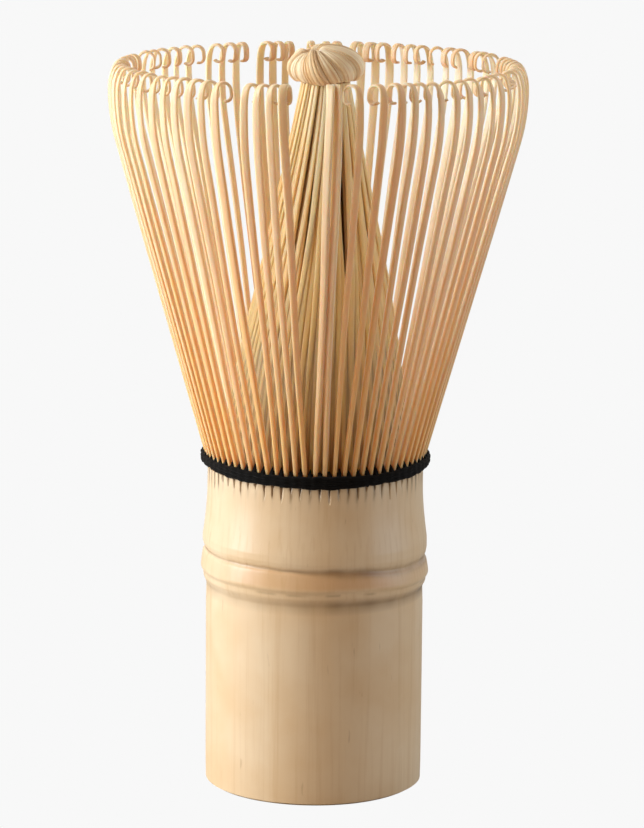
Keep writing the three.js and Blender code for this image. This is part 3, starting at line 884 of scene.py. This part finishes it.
knotwork = {
    "locks": 11, "strands": 5,
    "radius": 5.1 * mm, "halfHeight": 2.85 * mm,
    "centre": (1.1 * mm, 0.0, 104.5 * mm),
    "hollowToward": (-0.42, -0.22, 0.88),  # where the tips are tucked in
    "neckAngle": 135, "hollowAngle": 7, "swirl": 62,
    "bulge": 0.22 * mm,  # how far the middle of a lock stands over its edges
    "raised": 0.3 * mm, "creased": (0.04, 0.4),  # a lock's own height, and the shade along its edges
    "strandThickness": 0.62 * mm, "overlap": 1.45, "roll": 0.9,
    "neckTuck": 0.6 * mm, "hollowTuck": 1.3 * mm,  # how far the ends of a strand sink in
    "core": (0.88, 0.84), "coreShade": 0.4,
    "length": 20 * mm,
}


def onBall(angle, turn):
    return Vector((math.sin(angle) * math.cos(turn), math.sin(angle) * math.sin(turn), math.cos(angle)))


def knotPoint(turn, share, lift):
    # a point on the squashed ball, on the way from the neck to the hollow
    start = onBall(math.radians(knotwork["neckAngle"]), turn)
    tilt = Vector((0, 0, 1)).rotation_difference(Vector(knotwork["hollowToward"]).normalized())
    wound = turn + math.radians(knotwork["swirl"])
    end = tilt @ onBall(math.radians(knotwork["hollowAngle"]), wound)
    direction = start.slerp(end, share)
    wide, tall = knotwork["radius"] + lift, knotwork["halfHeight"] + lift
    return Vector(knotwork["centre"]) + Vector((direction.x * wide, direction.y * wide, direction.z * tall))


def makeKnotCore():
    deselectAll()
    bpy.ops.mesh.primitive_uv_sphere_add(segments=48, ring_count=24, radius=1, location=knotwork["centre"])
    core = startPiece("knotCore")
    wide, tall = knotwork["radius"] * knotwork["core"][0], knotwork["halfHeight"] * knotwork["core"][1]
    bpy.ops.transform.resize(value=(wide, wide, tall), center_override=knotwork["centre"])
    finishPiece(core)
    storeVector(core, "grain", points(core))
    storeValue(core, "tint", np.zeros(len(core.data.vertices)))
    storeValue(core, "shade", np.full(len(core.data.vertices), knotwork["coreShade"]))
    return core


def makeKnot():
    length = knotwork["length"]
    master = makeStrip("lockStrip", length, [at * length / 26 for at in range(1, 26)])
    locks = [makeKnotCore()]
    pitch = math.tau / knotwork["locks"]
    shares = np.linspace(0, 1, 60)
    for number in range(knotwork["locks"]):
        spread = chance.uniform(0.9, 1.12)
        raised = chance.uniform(-1, 1) * knotwork["raised"]
        tint, creased = chance.random(), chance.uniform(*knotwork["creased"])
        for strand in range(knotwork["strands"]):
            lock = copied(master, "lock")
            side = (strand - (knotwork["strands"] - 1) / 2) / knotwork["strands"]
            turn = pitch * (number + side * spread)
            lift = raised + knotwork["bulge"] * (0.5 - 4 * side * side)
            line, across, width = [], [], []
            for share in shares:
                sunk = knotwork["hollowTuck"] * float(smoothStep(0.88, 1, share))
                sunk += knotwork["neckTuck"] * float(smoothStep(0.1, 0, share))
                here = knotPoint(turn, share, lift - sunk)
                beside = knotPoint(turn + 0.02, share, lift - sunk)
                line.append(here)
                across.append((beside - here).normalized())
                width.append((beside - here).length / 0.02 * pitch / knotwork["strands"])
            line, across = np.array(line), np.array(across)
            outward = np.cross(np.gradient(line, axis=0), across)
            outward /= np.linalg.norm(outward, axis=1)[:, None]
            roll = side * knotwork["roll"]
            across = across * math.cos(roll) - outward * math.sin(roll)
            width = np.clip(np.array(width) * knotwork["overlap"], 0.25 * mm, 1.5 * mm)
            thickness = np.full(60, knotwork["strandThickness"])
            bendStrip(lock, line, across, width, thickness,
                      min(1, max(0, tint + chance.uniform(-0.2, 0.2))))
            tucked = 0.6 * smoothStep(0.84, 0.97, points(master)[:, 2] / length)
            storeValue(lock, "shade", np.maximum(tucked, creased if abs(side) > 0.35 else 0.0))
            locks.append(lock)
    knot = joined(locks, "knotOfTips")
    dress(knot, knotPith)
    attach(knot, "cone")
    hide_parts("knot")
    discard(master)
    print("knot ready")


makeKnot()
rootRing = frame["nodes"]["inner_root_ring"]
dress(rootRing, bambooEndGrain)


lacing = {
    "turns": 3, "cord": 0.78 * mm, "outerRadius": 16.2 * mm, "innerRadius": 13.85 * mm,
    "scallop": 0.06 * mm, "plies": 2, "plyDepth": 0.06, "plyLength": 2.3 * mm,
    "dip": 0.42 * mm, "lift": 0.55 * mm,  # how far the band sags in front and rides up on the left
    "thinning": 0.35,  # the turns lie closer at both sides
    "tieWidth": 0.46 * mm, "tieThickness": 0.85 * mm, "tieRise": 0.3 * mm,
    "peakHeight": (0.7 * mm, 1.25 * mm), "peakWidth": 0.75 * mm, "peakThickness": 0.5 * mm,
    "peakStart": 0.45 * mm, "peakDrawn": 0.5 * mm,  # below the thread's top, and in between the tines
}


def lacingDip(turn):
    left, right = (0.5 - 0.5 * np.cos(turn)) ** 3, (0.5 + 0.5 * np.cos(turn)) ** 4
    return lacing["lift"] * (left + 0.6 * right) - lacing["dip"] * (0.5 - 0.5 * np.sin(turn)) ** 2


def layCord(piece, radius, height, scallop, phase):
    # turns a plain ring of cord into a plied one that dips in between the tines
    where = points(piece)
    turn = np.arctan2(where[:, 1], where[:, 0])
    across = np.hypot(where[:, 0], where[:, 1]) - radius
    up = where[:, 2] - height
    around = np.arctan2(up, across)
    lays = round(math.tau * radius / lacing["plyLength"])
    swell = 1 + lacing["plyDepth"] * np.cos(lacing["plies"] * around - lays * turn + phase)
    wave = scallop * np.cos(culm["kerfs"] * (turn + math.pi / 2))
    uneven = 0.08 * mm * np.sin(7 * turn + phase) + 0.05 * mm * np.sin(31 * turn + 2 * phase)
    lift = uneven + lacingDip(turn)
    reach = radius + wave + across * swell
    middle = (threadBottom + threadTop) / 2
    thin = 1 - lacing["thinning"] * np.cos(turn) ** 2
    new = np.stack([np.cos(turn) * reach, np.sin(turn) * reach,
                    middle + (height - middle) * thin + lift + up * swell], axis=1)
    placePoints(piece, new)
    storeVector(piece, "grain", np.stack([around * lacing["cord"] / 2 + turn * radius * 0.6,
                                          across, turn * radius], axis=1))


def makeLacing():
    low, high = threadBottom, threadTop
    rise = (high - low - lacing["cord"]) / (lacing["turns"] - 1)
    rings = []
    for number in range(lacing["turns"]):
        height = low + lacing["cord"] / 2 + number * rise
        for radius, scallop in ((lacing["outerRadius"], lacing["scallop"]), (lacing["innerRadius"], 0.0)):
            deselectAll()
            bpy.ops.mesh.primitive_torus_add(major_radius=radius, minor_radius=lacing["cord"] / 2,
                                             major_segments=576, minor_segments=12, location=(0, 0, height))
            ring = startPiece("turn")
            finishPiece(ring, 180)
            layCord(ring, radius, height, scallop, chance.uniform(0, math.tau))
            rings.append(ring)
    reach = lacing["outerRadius"] - lacing["innerRadius"]
    master = makeStrip("tieStrip", reach, [at * reach / 6 for at in range(1, 6)])
    share = np.linspace(0, 1, 12)[:, None]
    for number in range(culm["kerfs"]):
        turn = math.radians((number + 0.5) * 360 / culm["kerfs"])
        outward = np.array([math.sin(turn), -math.cos(turn), 0])
        across = np.repeat(np.array([[math.cos(turn), math.sin(turn), 0]]), 12, axis=0)
        foot = low + float(lacingDip(turn - math.pi / 2))
        for row in range(2):
            tie = copied(master, "tie")
            height = foot + (0.5 + 0.75 * row + chance.uniform(-0.1, 0.2)) * mm
            line = outward * (lacing["outerRadius"] - reach * share)
            line = line + upward * (height + lacing["tieRise"] * share)
            width, thickness = np.full(12, lacing["tieWidth"]), np.full(12, lacing["tieThickness"])
            bendStrip(tie, line, across, width, thickness, 0.5)
            rings.append(tie)
        peak = copied(master, "peak")  # where the thread is drawn up between two tines
        peakTop = chance.uniform(*lacing["peakHeight"])
        drawn, start = lacing["peakDrawn"] * share ** 1.5, lacing["peakStart"]
        line = outward * (lacing["outerRadius"] - 0.05 * mm - drawn)
        line = line + upward * (high - low + foot - start + (peakTop + start) * share)
        taper = lacing["peakWidth"] * (1 - share[:, 0]) ** 0.8 + 0.06 * mm
        bendStrip(peak, line, across, taper, lacing["peakThickness"] * (1.1 - share[:, 0]), 0.5)
        rings.append(peak)
    thread = joined(rings, "lacingThread")
    dress(thread, cottonThread)
    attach(thread, "handle")
    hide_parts("lacing_thread")
    discard(master)
    print("lacing ready", len(thread.data.polygons))


makeLacing()


view = {
    "distance": 0.577, "height": 0.1685, "aside": 0.00089,
    "downwards": 11.2, "roll": 0.49,  # degrees
    "lens": 177.0, "sensor": 36.0,  # these two in millimetres
}


def makeCamera():
    camera = bpy.data.objects.new("camera", bpy.data.cameras.new("camera"))
    bpy.context.collection.objects.link(camera)
    camera.data.lens = view["lens"]
    camera.data.sensor_width = view["sensor"]
    camera.data.clip_start = 0.01
    tilt = Euler((math.radians(90 - view["downwards"]), 0, 0)).to_matrix()
    turn = tilt @ Matrix.Rotation(math.radians(view["roll"]), 3, "Z")
    place = Matrix.Translation((view["aside"], -view["distance"], view["height"]))
    camera.matrix_world = place @ turn.to_4x4()
    bpy.context.scene.camera = camera


lighting = {
    "front": 0.3, "behind": 0.97,  # the room's brightness on the camera's side and behind
    "frontColour": "#FFC468", "behindColour": "#FFFFFF",
    "floorSeen": 0.939, "floorColour": "#B4AFA8",
    "key": {"at": (-0.591, -0.104, 0.22), "size": (0.35, 0.5), "power": 6.45, "colour": "#E9F6FF"},
    "fill": {"at": (0.498, -0.044, 0.16), "size": (0.35, 0.5), "power": 1.45, "colour": "#B8E0FF"},
}


def makeFloor():
    # the camera sees an even pale board, and the light sees a matt one
    deselectAll()
    bpy.ops.mesh.primitive_plane_add(size=30, location=(0, 0, -0.0002))
    floor = bpy.context.object
    floor.name = "floor"
    material, tree = newMaterial("paleBoard")
    rays = addNode(tree, "ShaderNodeLightPath")
    seen = addNode(tree, "ShaderNodeEmission",
                   {"Color": linearColour("#FFFFFF"), "Strength": lighting["floorSeen"]})
    matt = addNode(tree, "ShaderNodeBsdfDiffuse", {"Color": linearColour(lighting["floorColour"])})
    both = addNode(tree, "ShaderNodeMixShader", None,
                   {0: (rays, "Is Camera Ray"), 1: (matt, "BSDF"), 2: (seen, "Emission")})
    addNode(tree, "ShaderNodeOutputMaterial", None, {"Surface": (both, "Shader")})
    dress(floor, material)
    deselectAll()


def makeLight(name, settings):
    lamp = bpy.data.lights.new(name, "AREA")
    lamp.shape = "RECTANGLE"
    lamp.size, lamp.size_y = settings["size"]
    lamp.energy = settings["power"]
    lamp.color = linearColour(settings["colour"])[:3]
    light = bpy.data.objects.new(name, lamp)
    bpy.context.collection.objects.link(light)
    light.location = settings["at"]
    aim = Vector((0, 0, 0.055)) - light.location
    light.rotation_euler = aim.to_track_quat("-Z", "Y").to_euler()


def makeLighting():
    world = bpy.context.scene.world or bpy.data.worlds.new("studio")
    bpy.context.scene.world = world
    world.use_nodes = True
    tree = world.node_tree
    tree.nodes.clear()
    direction = addNode(tree, "ShaderNodeTexCoord")
    parts = addNode(tree, "ShaderNodeSeparateXYZ", None, {"Vector": (direction, "Generated")})
    behind = addNode(tree, "ShaderNodeMapRange",
                     {"interpolation_type": "SMOOTHSTEP", "From Min": -0.1, "From Max": 0.6},
                     {"Value": (parts, "Y")})
    colour = addNode(tree, "ShaderNodeMix", {"data_type": "RGBA", 6: linearColour(lighting["frontColour"]),
                                             7: linearColour(lighting["behindColour"])},
                     {0: (behind, "Result")})
    strength = addNode(tree, "ShaderNodeMapRange",
                       {"To Min": lighting["front"], "To Max": lighting["behind"]},
                       {"Value": (behind, "Result")})
    backdrop = addNode(tree, "ShaderNodeBackground", None,
                       {"Color": (colour, 2), "Strength": (strength, "Result")})
    addNode(tree, "ShaderNodeOutputWorld", None, {"Surface": (backdrop, "Background")})
    for name in ("key", "fill"):
        makeLight(name, lighting[name])
    bpy.context.scene.view_settings.view_transform = "Standard"


makeCamera()
makeFloor()
makeLighting()
